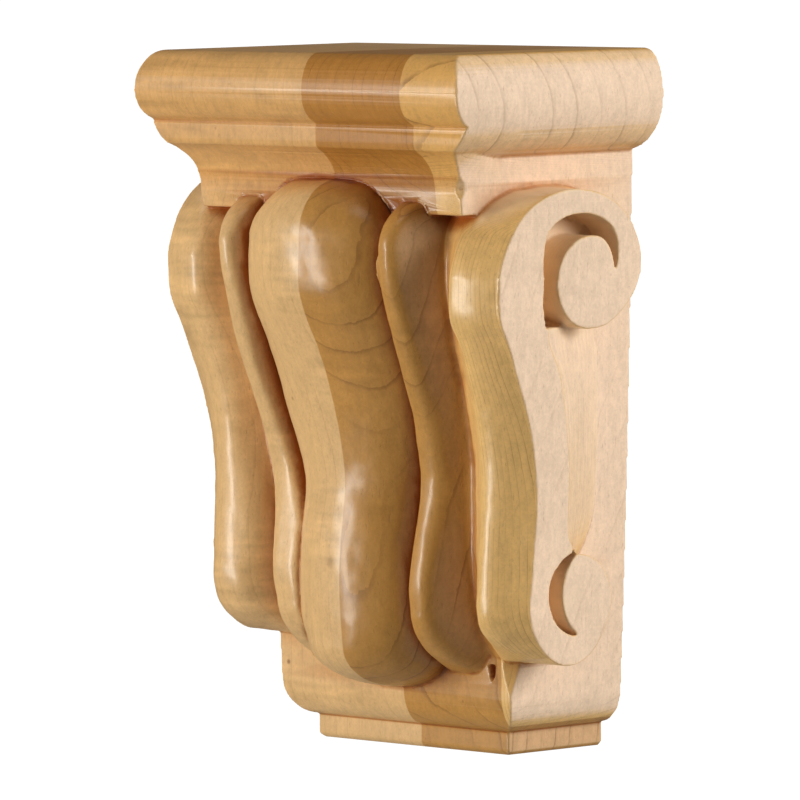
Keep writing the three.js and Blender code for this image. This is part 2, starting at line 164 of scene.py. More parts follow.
# How far the surface is searched for shelter, in metres, how often the result is evened out, and from how many
# points with how many rays.
HOLLOW = {"reach": 0.03, "rounds": 12}
NOOK = {"reach": 0.005, "rounds": 4}
SAMPLES, RAYS = 12000, 24
# The bend of a sharp edge, in radians to the metre.
SHARP = 700

# Yearly rings of each stave: rings to the millimetre across, back and up, below and above the corbel's waist,
# how far they wander, and how dark their lines are.
STAVE_LABELS = ("Direction", "Upper direction", "Wander", "Contrast")
STAVES = (
    ((0.25, -0.08, 0.01), (0.28, -0.06, 0.01), 2.4, 0.22),
    ((0.07, -0.22, 0.024), (0.3, -0.2, 0.02), 2.2, 0.7),
    ((0.83, -0.1, 0.014), (0.03, -0.118, -0.03), 1.1, 0.75),
)
# How strongly each part of the grain shows in the lightness and in the relief.
LIGHTNESS = {"Cloud": 0.2, "Streak": 0.16, "Grit": 0.34, "Mottle": 0.3}
RELIEF = {"Pores": -0.6, "Streak": 0.5, "Grit": 0.15}
RING_RELIEF = -0.3
JOINT_BLUR = 0.2

# Metres and radians, but millimetres for the lens and for the point that the camera looks at.
CAMERA = {"yaw": 0.820305, "pitch": 0.067613, "roll": -0.011819, "distance": 2.1509, "aside": -0.001074,
          "above": 0.000128, "sensor": 36, "lens": 395.9, "clip_end": 100, "depth": 33, "height": 85}
# Each lamp: its side, degrees from the camera's side of the corbel, height, distance, size, tilt and colour.
LAMPS = (
    ("left", -77, 0, 1.5, (0.22, 0.85), 34, (1, 0.97, 0.9)),
    ("right", 68, 0.4, 1.5, (0.7, 0.9), 0, (1, 0.98, 0.95)),
    ("top", -30, 1.3, 0.5, (0.5, 0.5), 0, (1, 0.98, 0.95)),
)
FLOOR_REACH = 60
WHITE = (1, 1, 1, 1)
WARM = (1, 0.9, 0.75, 1)


def lerp(a, b, t):
    return a + (b - a) * t


def smoothstep(x, low, high):
    t = np.clip((x - low) / (high - low), 0, 1)
    return t * t * (3 - 2 * t)


def ease(x, span):
    """How far x is through a span, from 0 to 1 with soft ends."""
    return float(smoothstep(x, *span))


def rail(pairs):
    """A smooth function through (height, value) pairs, level past both ends."""
    heights, values = np.array(pairs, float).T
    before = np.clip(np.arange(len(pairs)) - 1, 0, None)
    after = np.clip(np.arange(len(pairs)) + 1, None, len(pairs) - 1)
    slopes = (values[after] - values[before]) / (heights[after] - heights[before])

    def at(height):
        h = np.clip(height, heights[0], heights[-1])
        i = np.clip(np.searchsorted(heights, h, side="right") - 1, 0, len(pairs) - 2)
        span = heights[i + 1] - heights[i]
        t = (h - heights[i]) / span
        ends = values[i] * (1 + 2 * t) * (1 - t) ** 2 + values[i + 1] * t * t * (3 - 2 * t)
        tangents = slopes[i] * t * (1 - t) ** 2 + slopes[i + 1] * t * t * (t - 1)
        return ends + tangents * span

    return at


def crest(line):
    """The depth of a crest, which rounds off past the first and the last height of its rail."""
    along = rail(line["crest"])
    first, last = line["crest"][0], line["crest"][-1]

    def rounded(start, end, height):
        t = np.clip((height - start[0]) / (end["height"] - start[0]), 0, 1)
        return lerp(end["depth"], start[1], (1 - t * t) ** end["power"])

    def at(height):
        low = rounded(first, line["low"], height)
        high = rounded(last, line["high"], height)
        return np.where(height < first[0], low, np.where(height > last[0], high, along(height)))

    return at


def arc(x, y, radius_x, radius_y, start, end, count):
    """Points of an elliptical arc between two angles in degrees."""
    angles = np.radians(np.linspace(start, end, count + 1))
    return [(x + radius_x * math.cos(a), y + radius_y * math.sin(a)) for a in angles]


def panel_half(height):
    t = np.clip((height - FOOT["top"]) / (ROLL["underside"] - FOOT["top"]), 0, 1)
    return lerp(PANEL["bottom"], PANEL["top"], t) + PANEL["bow"] * 4 * t * (1 - t)


def face_half(height):
    return FACE["at_foot"] + FACE["lean"] * height


def section(points, height):
    """A level outline of half widths and depths."""
    return [(x, -depth, height) for x, depth in points]


def in_scene(name, data):
    thing = bpy.data.objects.new(name, data)
    bpy.context.scene.collection.objects.link(thing)
    return thing


def mesh_object(name, vertices, faces):
    mesh = bpy.data.meshes.new(name)
    mesh.from_pydata([tuple(v) for v in vertices], [], [tuple(f) for f in faces])
    shape = bmesh.new()
    shape.from_mesh(mesh)
    bmesh.ops.recalc_face_normals(shape, faces=shape.faces)
    shape.to_mesh(mesh)
    shape.free()
    return in_scene(name, mesh)


def loft(name, slices):
    """A closed solid through outlines of the same number of points."""
    count = len(slices[0])
    vertices = np.concatenate([np.asarray(s, float) for s in slices])
    i = np.arange(count)
    j = (i + 1) % count
    faces = []
    for s in range(len(slices) - 1):
        base = s * count
        faces.extend(np.stack([base + i, base + j, base + count + j, base + count + i], 1).tolist())
    last = (len(slices) - 1) * count
    faces.append(list(range(count))[::-1])
    faces.append(list(range(last, last + count)))
    return mesh_object(name, vertices, faces)


def side_prism(name, outline, start, end):
    return loft(name, [[(x, -depth, height) for depth, height in outline] for x in (start, end)])


def boolean(base, tool, operation):
    """Joins, cuts or keeps what two solids share, and removes the second."""
    step = base.modifiers.new("step", "BOOLEAN")
    step.operation = operation
    step.solver = "MANIFOLD"
    step.object = tool
    bake(base)
    bpy.data.objects.remove(tool, do_unlink=True)
    return base


def bake(piece):
    """Turns a piece with modifiers into a plain mesh."""
    graph = bpy.context.evaluated_depsgraph_get()
    graph.update()
    mesh = bpy.data.meshes.new_from_object(piece.evaluated_get(graph))
    piece.modifiers.clear()
    old = piece.data
    piece.data = mesh
    bpy.data.meshes.remove(old)


def foot_profile(plinth, full):
    """The stepped foot, from the underside up to its full size."""
    return [(plinth - FOOT["edge"], 0), (plinth, FOOT["edge"]),
            *arc(plinth, FOOT["top"], full - plinth, FOOT["top"] - FOOT["ledge"], -90, 0, 24)]


def front_profile():
    nose_foot = math.degrees(math.asin((NOSE["foot"] - NOSE["height"]) / NOSE["drop"]))
    return [
        (0, 0),
        *foot_profile(FOOT["plinth_depth"], FOOT["depth"]),
        (FOOT["depth"], NECK["underside"]),
        (NECK["depth"] - 0.4, NECK["underside"]),
        *arc(NECK["depth"] + CAVETTO["radius"], CAVETTO["bottom"], CAVETTO["radius"], CAVETTO["radius"],
             180, CAVETTO["end"], 24),
        (BEAD["depth"], BEAD["bottom"] + 1.4),
        (BEAD["depth"], BEAD["top"] - 0.6),
        (BEAD["depth"] - BEAD["quirk"], BEAD["top"]),
        *arc(TOP_DEPTH, NOSE["height"], NOSE["out"], NOSE["drop"], nose_foot, 0, 24),
        *arc(TOP_DEPTH, NOSE["height"], NOSE["out"], NOSE["rise"], 4, 90, 24),
        (0, HEIGHT),
    ]


def side_profile(depth):
    """The outline seen from the front. Near the front corners a small cove runs up into the roll."""
    roll_centre = TOP_HALF + ROLL["out"] - ROLL["radius"]
    joint = PANEL["top"] + CORNER["flare"] * ease(depth, (CORNER["start"], CORNER["end"]))
    roll_end = -math.acos((joint - roll_centre) / ROLL["radius"])
    joint_height = ROLL["height"] + ROLL["rise"] * math.sin(roll_end)
    cove = np.linspace(0, 1, 9)[:-1]
    half = [
        *foot_profile(FOOT["plinth_half"], PANEL["bottom"]),
        *[(float(panel_half(height)), float(height)) for height in np.linspace(22, 139, 24)],
        *[(lerp(PANEL["top"], joint, t * t), lerp(CORNER["bottom"], joint_height, t)) for t in cove],
        *arc(roll_centre, ROLL["height"], ROLL["radius"], ROLL["rise"], math.degrees(roll_end), 0, 32),
        *arc(TOP_HALF, ROLL["height"], ROLL["out"], HEIGHT - ROLL["height"], 4, 90, 24),
    ]
    return half + [(-x, z) for x, z in reversed(half)]


def core():
    along = side_prism("core", front_profile(), -70, 70)
    depths = [0, CORNER["start"], 47, 50, 53, 56, CORNER["end"], 90]
    across = [[(x, -depth, z) for x, z in side_profile(depth)] for depth in depths]
    return boolean(along, loft("across", across), "INTERSECT")


eye_radius = rail([(i * 45, radius) for i, radius in enumerate(EYE_RADII)])


def around(eye, radius, degrees):
    angle = math.radians(degrees)
    return (eye["depth"] + radius * math.cos(angle), eye["height"] + radius * math.sin(angle))


def spline(points, steps):
    """A smooth curve through points, with the ends kept."""
    p = np.array(points, float)
    p = np.vstack([2 * p[0] - p[1], p, 2 * p[-1] - p[-2]])
    out = []
    for i in range(1, len(p) - 2):
        for k in range(steps):
            t = k / steps
            out.append(0.5 * (2 * p[i] + (p[i + 1] - p[i - 1]) * t
                              + (2 * p[i - 1] - 5 * p[i] + 4 * p[i + 1] - p[i + 2]) * t ** 2
                              + (3 * p[i] - p[i - 1] - 3 * p[i + 1] + p[i + 2]) * t ** 3))
    out.append(p[-2])
    return [(float(x), float(y)) for x, y in out]


def placed(outline, side):
    """Carved by eye: the left scroll stands a little higher and further forward than the right one."""
    if side > 0:
        return outline
    return [(depth + LEFT_SCROLL["ahead"], height + LEFT_SCROLL["rise"]) for depth, height in outline]


def scroll_outline(flare, side):
    turn = []
    for s in range(0, 257, 4):
        spread = flare * FLARE["reach"] * math.exp(-(((s - 118) / 48) ** 2))
        turn.append(around(EYE, float(eye_radius(s)) + spread, -100 - s))
    front = spline([turn[-1], *SCROLL_FRONT, around(LOW_EYE, LOW_EYE["front"], 10)], 8)
    low = []
    for angle in range(6, -273, -4):
        radius = lerp(LOW_EYE["back"], LOW_EYE["front"], ease(angle, (-155, -65)))
        low.append(around(LOW_EYE, radius, angle))
    back = spline([low[-1], *BAND_BACK], 5)[1:]
    return placed([
        *turn,
        *front[1:],
        *low,
        *back,
        (39.4, GROOVE["step"] + 1),
        (36, GROOVE["step"] + 2),
        around(EYE, EYE["boss"], -72),
        around(EYE, EYE["boss"], -86),
    ], side)


def arris_stretch(side):
    outline = scroll_outline(0, side)
    heights = [p[1] for p in outline]
    top, bottom = heights.index(max(heights)), heights.index(min(heights))
    return outline[top:bottom + 1]


ARRIS = {side: arris_stretch(side) for side in (1, -1)}


def arris_depth(height, side):
    line = ARRIS[side][::-1]
    return float(np.interp(height, [p[1] for p in line], [p[0] for p in line]))


def scroll_relief(side):
    levels = [
        (lambda z: panel_half(z) - FACE["root"], 1),
        *[(lambda z, up=up: panel_half(z) + FLARE["rise"] * up, flare) for up, flare in FLARE["steps"]],
        (face_half, 0),
    ]
    return loft("scroll", [[(side * float(at(z)), -depth, z) for depth, z in scroll_outline(flare, side)]
                           for at, flare in levels])


bulge_crest = crest(BULGE)
ridge_crest = crest(RIDGE)
valley_floor = rail(VALLEY["floor"])


def end_round(height, start, end):
    t = np.clip((height - start) / (end - start), 0, 1)
    return math.sqrt(max(1 - t * t, 0))


def row_end(height, side):
    top, bottom = ARRIS[side][0][1], ARRIS[side][-1][1]
    inside = CARVED["side_back"] + 0.5 if height > (bottom + top) / 2 else FOOT["depth"] + 1
    reach = min((height - bottom) / 2, (top - height) / 1.2, 1)
    return lerp(inside, face_half(height) - CARVED["edge"], max(reach, 0))


def half_row(height, side):
    """Half a row of the front carving, from the middle out to the side and round to the back."""
    low_left = 1 - ease(height, LOWER_LEFT["heights"]) if side < 0 else 0
    closed = low_left * ease(height, LOWER_LEFT["closing"])
    upper_right = ease(height, UPPER_RIGHT["heights"]) if side > 0 else 0
    upper = ease(height, RIDGE["narrowing"])

    bulge = float(bulge_crest(height))
    floor = lerp(FOOT["depth"] - BULGE["root"], bulge - BULGE["swell"], ease(height, BULGE["rooted"]))
    bulge_half = lerp(BULGE["half_low"], BULGE["half_high"], ease(height, BULGE["widening"]))
    taper = 1 - BULGE["taper"] * ease(height, BULGE["tapering"])
    bulge_half = max(bulge_half * end_round(height, *BULGE["foot"]) * taper, 0.5)
    row = [(bulge_half * math.sin(t), floor + max(bulge - floor, 0) * math.cos(t))
           for t in np.linspace(0, lerp(math.pi / 2, LOWER_LEFT["turn"], closed), 31)]
    inner, base = row[-1]

    ridge = float(ridge_crest(height))
    ridge_at = RIDGE["at"] + RIDGE["lean"] * height - (RIDGE["left_shift"] * upper if side < 0 else 0)
    ridge_at -= LOWER_LEFT["ridge"] * low_left
    flank = min(RIDGE["half"] + RIDGE["spread"] * height + RIDGE["flank"], ridge_at - inner - 0.05)
    flank = lerp(flank, ridge_at - inner - 0.05, closed)
    square = RIDGE["squareness"] - LOWER_LEFT["square"] * low_left
    for t in np.linspace(0, math.pi / 2, 13):
        out, up = math.cos(t) ** square, math.sin(t) ** square
        row.append((ridge_at - flank * out, base + max(ridge - base, 0) * up))

    valley = float(valley_floor(height))
    valley_at = VALLEY["at"] + VALLEY["lean"] * height - LOWER_LEFT["valley"] * low_left
    end = row_end(height, side)
    shoulder_at = SHOULDER["at"] + SHOULDER["lean"] * height - UPPER_RIGHT["shoulder"] * upper_right
    shoulder_at = min(shoulder_at, end - 2)
    scrolled = ARRIS[side][-1][1] < height < ARRIS[side][0][1]
    arris = arris_depth(height, side) if scrolled else CARVED["back"] + 2
    rise = lerp(SHOULDER["low"], SHOULDER["high"], ease(height, SHOULDER["sinking"]))
    shoulder = arris + (rise * ease(height, SHOULDER["start"]) if scrolled else 0)
    fall = lerp(RIDGE["outer_low"], RIDGE["outer_high"], upper)
    fall_off = 1 + UPPER_RIGHT["fall"] * upper_right if side > 0 else lerp(*LOWER_LEFT["fall"], low_left)
    for near, far, low, high, power in ((ridge_at, valley_at, valley, max(ridge, valley), fall),
                                        (valley_at, shoulder_at, shoulder, valley, fall_off)):
        for t in np.linspace(0, 1, 17)[1:]:
            row.append((lerp(near, far, t), lerp(low, high, 0.5 + 0.5 * math.cos(math.pi * t ** power))))
    for t in np.linspace(0, 1, 17)[1:]:
        row.append((lerp(shoulder_at, end, t), lerp(arris - 0.15, shoulder, math.cos(t * math.pi / 2))))
    row.append((end, max(arris - CARVED["thick"], CARVED["back"] + 0.5)))
    row.append((min(CARVED["side_back"], end - 0.5), CARVED["back"]))
    return row


def carved_front():
    slices = []
    for t in np.linspace(0, 1, CARVED["rows"]):
        bunched = t - CARVED["bunching"] * math.sin(2 * math.pi * t)
        height = lerp(CARVED["bottom"], CARVED["top"], bunched)
        left = [(-x, depth) for x, depth in half_row(height, -1)[:0:-1]]
        slices.append(section(left + half_row(height, 1), height))
    return loft("front", slices)


def ramp(side):
    """The ground that slopes from the scroll band back to the panel."""
    band_back = rail([(height, depth) for depth, height in BAND_BACK])
    toe = rail(RAMP["toe"])
    slices = []
    for z in np.linspace(45, 110, 40):
        start, end = float(toe(z)) - 0.8, float(band_back(z)) + 0.2
        (start, height), (end, _) = placed([(start, float(z)), (end, float(z))], side)
        slices.append(section([
            (side * (float(panel_half(height)) - 0.5), start),
            (side * (float(face_half(height)) - RAMP["step"]), end),
            (side * RAMP["root"], end),
            (side * RAMP["root"], start),
        ], height))
    return loft("ramp", slices)


def grooves(side):
    width = rail(GROOVE_WIDTHS)

    def boss_edge(angle):
        return lerp(EYE["boss"], GROOVE["tip_radius"], ease(angle, (100, GROOVE["tip"])))

    angles = np.arange(GROOVE["tip"], GROOVE["end"] - 1, -5)
    outer = [around(EYE, boss_edge(a) + float(width(a)), a) for a in angles if a > GROOVE["mouth"]]
    inner = [around(EYE, boss_edge(a), a) for a in angles]
    upper = [*outer, *[(depth, GROOVE["step"]) for depth in GROOVE["square_end"]], *reversed(inner)]
    half = math.acos((CRESCENT["chord"] - CRESCENT["depth"]) / CRESCENT["radius"])
    inner_half = math.asin(CRESCENT["radius"] * math.sin(half) / CRESCENT["inner_radius"])
    inner_centre = CRESCENT["chord"] - CRESCENT["inner_radius"] * math.cos(inner_half)
    half, inner_half = math.degrees(half), math.degrees(inner_half)
    lower = [
        *arc(CRESCENT["depth"], CRESCENT["height"], CRESCENT["radius"], CRESCENT["radius"], half, -half, 40),
        *arc(inner_centre, CRESCENT["height"], CRESCENT["inner_radius"], CRESCENT["inner_radius"],
             -inner_half, inner_half, 24)[1:-1],
    ]
    outside = side * GROOVE["outside"]
    cut = side_prism("groove", placed(upper, side), side * GROOVE["floor"], outside)
    crescent = side_prism("crescent", placed(lower, side), side * CRESCENT["floor"], outside)
    return boolean(cut, crescent, "UNION")


def wedge(name, sections):
    """A small solid through cross-sections given as a height and points of half width and depth."""
    return loft(name, [section(points, height) for height, points in sections])


def pared_corner():
    half, depth = PANEL["bottom"], FOOT["depth"]
    return [(height, [(half - cut * 0.9, depth + 0.5), (half + 1.5, depth + 0.5), (half + 1.5, depth - cut)])
            for height, cut in PARED_CORNER]


def neck_chip():
    half, depth = PANEL["top"], NECK["depth"]
    return [(height, [(half + 3 + out, depth + out - 3 - cut), (half + 3 + out, depth + out + 3),
                      (half + out - 3 - cut, depth + out + 3)]) for height, cut, out in NECK_CHIP]


def lifted_sliver():
    return [(height, [(x - half, depth - 0.7), (x + half + 0.9, depth - 1.2), (x + half + 0.5, depth + 0.5),
                      (x - half * 0.4, depth + 0.4)]) for height, x, depth, half in SLIVER]


def gouge_marks(path, seed):
    """Overlapping scoops along a path, made by Geometry Nodes as one cutting solid."""
    tree = bpy.data.node_groups.new("gouge marks", "GeometryNodeTree")
    face = tree.interface
    face.new_socket("Geometry", in_out="INPUT", socket_type="NodeSocketGeometry")
    values = {"Spacing": GOUGE["length"] * GOUGE["spacing"], "Length": GOUGE["length"] / 2,
              "Width": GOUGE["width"] / 2, "Depth": GOUGE["depth"]}
    sockets = {label: face.new_socket(label, in_out="INPUT", socket_type="NodeSocketFloat") for label in values}
    face.new_socket("Geometry", in_out="OUTPUT", socket_type="NodeSocketGeometry")
    b = Board(tree)
    given = b.node("NodeGroupInput").outputs
    curve = b.node("GeometryNodeMeshToCurve", {"Mesh": given["Geometry"]})
    points = b.node("GeometryNodeCurveToPoints", {"Curve": curve.outputs[0], "Length": given["Spacing"]},
                    mode="LENGTH")
    scoop = b.node("GeometryNodeMeshUVSphere", {"Segments": 14, "Rings": 9, "Radius": 1.0})
    size = b.node("ShaderNodeCombineXYZ", {0: given["Depth"], 1: given["Width"], 2: given["Length"]})
    vary = b.node("FunctionNodeRandomValue", {"Min": (0.7, 0.85, 0.85), "Max": (1.25, 1.1, 1.15), "Seed": seed},
                  data_type="FLOAT_VECTOR")
    scale = b.vector("MULTIPLY", size.outputs[0], vary.outputs[0])
    across = b.node("FunctionNodeAlignRotationToVector", {"Vector": (1, 0, 0)}, axis="X")
    along = b.node("FunctionNodeAlignRotationToVector",
                   {"Rotation": across.outputs[0], "Vector": points.outputs["Tangent"]},
                   axis="Z", pivot_axis="X")
    scoops = b.node("GeometryNodeInstanceOnPoints", {
        "Points": points.outputs["Points"], "Instance": scoop.outputs["Mesh"],
        "Rotation": along.outputs[0], "Scale": scale[0]})
    whole = b.node("GeometryNodeRealizeInstances", {"Geometry": scoops.outputs[0]})
    finish = b.node("GeometryNodeSetMaterial", {"Geometry": whole.outputs[0]})
    b.put(b.node("NodeGroupOutput").inputs[0], finish.outputs[0])
    mesh = bpy.data.meshes.new("gouge path")
    mesh.from_pydata(path, [(i, i + 1) for i in range(len(path) - 1)], [])
    marks = in_scene("gouge marks", mesh)
    modifier = marks.modifiers.new("marks", "NODES")
    modifier.node_group = tree
    for label, value in values.items():
        modifier[sockets[label].identifier] = value
    bake(marks)
    return marks


def groove_path(side):
    """The middle of the upper groove's floor, from its tip down to its square end."""
    width = rail(GROOVE_WIDTHS)
    turns = np.linspace(GOUGE["start"], GOUGE["end"], 60)
    path = [around(EYE, EYE["boss"] + float(width(a)) / 2, a) for a in turns]
    return [(side * GROOVE["floor"], -depth, height) for depth, height in placed(path, side)]


def carve():
    """The whole block, one cut or addition after the other."""
    steps = [
        (wedge("pared corner", pared_corner()), "DIFFERENCE"),
        (wedge("torn notch", TORN_NOTCH), "DIFFERENCE"),
        (carved_front(), "UNION"),
        (wedge("chip", neck_chip()), "DIFFERENCE"),
        (wedge("sliver", lifted_sliver()), "UNION"),
    ]
    for side in (1, -1):
        steps += [
            (boolean(scroll_relief(side), ramp(side), "UNION"), "UNION"),
            (grooves(side), "DIFFERENCE"),
            (gouge_marks(groove_path(side), GOUGE["seed"] + side), "DIFFERENCE"),
        ]
    steps.append((side_prism("tick", TICK["outline"], TICK["floor"], GROOVE["outside"]), "DIFFERENCE"))
    body = core()
    for tool, operation in steps:
        boolean(body, tool, operation)
    return body


def finish_mesh(piece, voxel, triangles):
    remesh = piece.modifiers.new("remesh", "REMESH")
    remesh.mode = "VOXEL"
    remesh.voxel_size = voxel
    smooth = piece.modifiers.new("smooth", "SMOOTH")
    smooth.factor = 0.5
    smooth.iterations = 1
    bake(piece)
    faces = sum(len(p.vertices) - 2 for p in piece.data.polygons)
    thin = piece.modifiers.new("thin", "DECIMATE")
    thin.ratio = min(triangles / faces, 1)
    bake(piece)
    mesh = piece.data
    uneven(mesh)
    mesh.transform(Matrix.Translation((0, 0, -HEIGHT / 2 * MM)) @ Matrix.Diagonal((MM, MM, MM, 1)))
    mesh.shade_smooth()


def surface(mesh):
    """The places and the normals of a mesh's points."""
    places, normals = np.empty(len(mesh.vertices) * 3), np.empty(len(mesh.vertices) * 3)
    mesh.vertices.foreach_get("co", places)
    mesh.vertices.foreach_get("normal", normals)
    return places.reshape(-1, 3), normals.reshape(-1, 3)


def lip_height(x, side):
    """How high the carved front reaches on the neck's face at each half width."""
    reached = np.full(len(x), 0.0)
    for height in np.linspace(*LIP["rows"]):
        row = np.array(half_row(float(height), side)[:-2])
        depth = np.interp(x, row[:, 0], row[:, 1])
        reached = np.where(depth > NECK["depth"], height, reached)
    return reached


def uneven(mesh):
    """The slight unevenness of hand carving, and the lip left where the neck's face meets the carved front."""
    places, normals = surface(mesh)
    carved = smoothstep(-places[:, 1], 28, 40) * (1 - smoothstep(np.abs(normals[:, 0]), 0.75, 0.95))
    sway = np.array([
        noise.noise(Vector(wide)) + UNEVEN["ripple_share"] * noise.noise(Vector(near) * UNEVEN["ripple"])
        for wide, near in zip((places * UNEVEN["wave"]).tolist(), places.tolist())])
    sway = sway * (UNEVEN["sawn"] + UNEVEN["carved"] * carved) * smoothstep(-places[:, 1], 1, 4)
    moved = places + normals * sway[:, None]
    rise = np.clip(places[:, 2] - CAVETTO["bottom"], 0, CAVETTO["radius"])
    neck = NECK["depth"] + CAVETTO["radius"] - np.sqrt(CAVETTO["radius"] ** 2 - rise ** 2)
    face = (np.abs(-places[:, 1] - neck) < 0.3) & (normals[:, 1] < -0.9)
    face &= (places[:, 2] > NECK["underside"]) & (places[:, 2] < LIP["top"])
    for side in (1, -1):
        near = face & (side * places[:, 0] >= 0)
        reach = places[near, 2] - lip_height(np.abs(places[near, 0]), side)
        out = smoothstep(reach, LIP["gone"], LIP["full"]) * (np.abs(reach) < LIP["within"])
        moved[near, 1] -= LIP["proud"] * out
    low, high = [np.array(corner) / MM + (0, 0, HEIGHT / 2) for corner in CAD_BOX]
    moved = np.clip(moved, low, high)
    mesh.vertices.foreach_set("co", moved.ravel())
    mesh.update()


def joined_points(mesh):
    """The two ends of each edge, and how many edges meet at each point."""
    edges = np.empty(len(mesh.edges) * 2, np.int64)
    mesh.edges.foreach_get("vertices", edges)
    return edges[0::2], edges[1::2], np.bincount(edges, minlength=len(mesh.vertices)).astype(float)


def neighbour_mean(mesh, values, rounds):
    """Evens out a value over the surface."""
    a, b, count = joined_points(mesh)
    for _ in range(rounds):
        total = np.bincount(a, values[b], len(values)) + np.bincount(b, values[a], len(values))
        values = 0.5 * values + 0.5 * total / np.maximum(count, 1)
    return values


def bend(mesh, places, normals):
    """How sharply the surface turns at each point: above zero on an edge, below zero in a crease."""
    a, b, count = joined_points(mesh)
    along = places[b] - places[a]
    square = np.maximum((along ** 2).sum(1), 1e-9)
    total = np.bincount(a, -(along * normals[a]).sum(1) * 2 / square, len(places))
    total += np.bincount(b, (along * normals[b]).sum(1) * 2 / square, len(places))
    return total / np.maximum(count, 1)


def shelter(mesh, places, normals, samples, rays, reach, rounds):
    """How much of the view out from each point is closed off by the carving, from 0 to 1.

    It is looked at from a sample of the points and carried over to all of them.
    """
    tree = BVHTree.FromPolygons(places.tolist(), [tuple(p.vertices) for p in mesh.polygons])
    z = 1 - (np.arange(rays) + 0.5) / rays
    turn = np.arange(rays) * math.pi * (3 - math.sqrt(5))
    level = np.sqrt(1 - z * z)
    local = np.stack([level * np.cos(turn), level * np.sin(turn), z], 1)
    chosen = np.random.default_rng(7).permutation(len(places))[:samples]
    nearest = KDTree(len(chosen))
    closed = []
    for k, i in enumerate(chosen):
        normal = normals[i]
        across = np.cross(normal, (0, 0, 1) if abs(normal[2]) < 0.9 else (1, 0, 0))
        across /= np.linalg.norm(across)
        directions = local @ np.stack([across, np.cross(normal, across), normal])
        start = Vector(places[i] + normal * reach * 0.02)
        hits = [tree.ray_cast(start, Vector(d), reach)[0] is not None for d in directions.tolist()]
        closed.append(sum(hits) / rays)
        nearest.insert(places[i], k)
    nearest.balance()
    return neighbour_mean(mesh, np.array([closed[nearest.find(place)[1]] for place in places]), rounds)


def mark_surface(mesh):
    """Keeps how sheltered, how sideways and how sharp the surface is as attributes, for the finish and for the
    shade and light painted into its colour.
    """
    places, normals = surface(mesh)
    aside = np.abs(normals[:, 0])
    marks = {
        "hollow": shelter(mesh, places, normals, SAMPLES, RAYS, **HOLLOW),
        "nook": shelter(mesh, places, normals, SAMPLES * 2, RAYS // 2, **NOOK),
        "edge": np.clip(neighbour_mean(mesh, bend(mesh, places, normals), 2) / SHARP, -1, 1),
        "flat_side": smoothstep(aside, 0.7, 0.93),
        "sideways": smoothstep(aside, 0.3, 0.65),
        "rear": smoothstep(normals[:, 1], 0.9, 0.99),
    }
    for name, values in marks.items():
        layer = mesh.attributes.new(name, "FLOAT", "POINT")
        layer.data.foreach_set("value", values.astype(np.float32))


class Board:
    """Adds nodes to a tree, one call for each."""

    def __init__(self, tree):
        self.tree = tree

    def put(self, target, value):
        if isinstance(value, bpy.types.NodeSocket):
            self.tree.links.new(value, target)
        else:
            target.default_value = value

    def node(self, kind, inputs=None, **settings):
        node = self.tree.nodes.new(kind)
        for key, value in settings.items():
            setattr(node, key, value)
        for key, value in (inputs or {}).items():
            self.put(node.inputs[key], value)
        return node

    def math(self, operation, a, b=0.0):
        return self.node("ShaderNodeMath", {0: a, 1: b}, operation=operation).outputs[0]

    def times(self, a, b):
        return self.math("MULTIPLY", a, b)

    def rest(self, a):
        """What a leaves of one."""
        return self.math("SUBTRACT", 1.0, a)

    def summed(self, start, shares):
        for value, strength in shares:
            start = self.math("ADD", start, self.times(value, strength))
        return start

    def vector(self, operation, a, b):
        return self.node("ShaderNodeVectorMath", {0: a, 1: b}, operation=operation).outputs

    def step(self, value, low, high, start=0.0, end=1.0):
        return self.node("ShaderNodeMapRange", {
            "Value": value, "From Min": low, "From Max": high, "To Min": start, "To Max": end,
        }, interpolation_type="SMOOTHSTEP").outputs["Result"]

    def mix(self, factor, a, b, blend="MIX"):
        return self.node("ShaderNodeMix", {0: factor, 6: a, 7: b}, data_type="RGBA",
                         blend_type=blend).outputs[2]

    def pick(self, factor, a, b):
        return self.node("ShaderNodeMix", {0: factor, 2: a, 3: b}, data_type="FLOAT").outputs[0]

    def noise(self, place, scale, detail, roughness=0.5):
        return self.node("ShaderNodeTexNoise", {
            "Vector": self.vector("MULTIPLY", place, scale)[0], "Scale": 1.0, "Detail": detail,
            "Roughness": roughness,
        }).outputs["Fac"]

    def sway(self, *settings):
        """Noise around zero."""
        return self.math("SUBTRACT", self.noise(*settings), 0.5)

    def group(self, tree, inputs):
        """A copy of a node group. The tree is set first, because the sockets come with it."""
        return self.node("ShaderNodeGroup", inputs, node_tree=tree).outputs

    def attribute(self, name):
        return self.node("ShaderNodeAttribute", attribute_name=name).outputs["Fac"]


def srgb(red, green, blue):
    """A colour given as 0 to 255 values, for a shader."""
    def linear(value):
        value /= 255
        return value / 12.92 if value <= 0.04045 else ((value + 0.055) / 1.055) ** 2.4
    return (linear(red), linear(green), linear(blue), 1)


def node_group(name, inputs, outputs):
    """An empty shader node group with named sockets, and a board to fill it with."""
    tree = bpy.data.node_groups.new(name, "ShaderNodeTree")
    for label, default in inputs.items():
        kind = "NodeSocketVector" if isinstance(default, tuple) else "NodeSocketFloat"
        tree.interface.new_socket(label, in_out="INPUT", socket_type=kind).default_value = default
    for label in outputs:
        tree.interface.new_socket(label, in_out="OUTPUT", socket_type="NodeSocketFloat")
    board = Board(tree)
    return board, board.node("NodeGroupInput").outputs, board.node("NodeGroupOutput").inputs


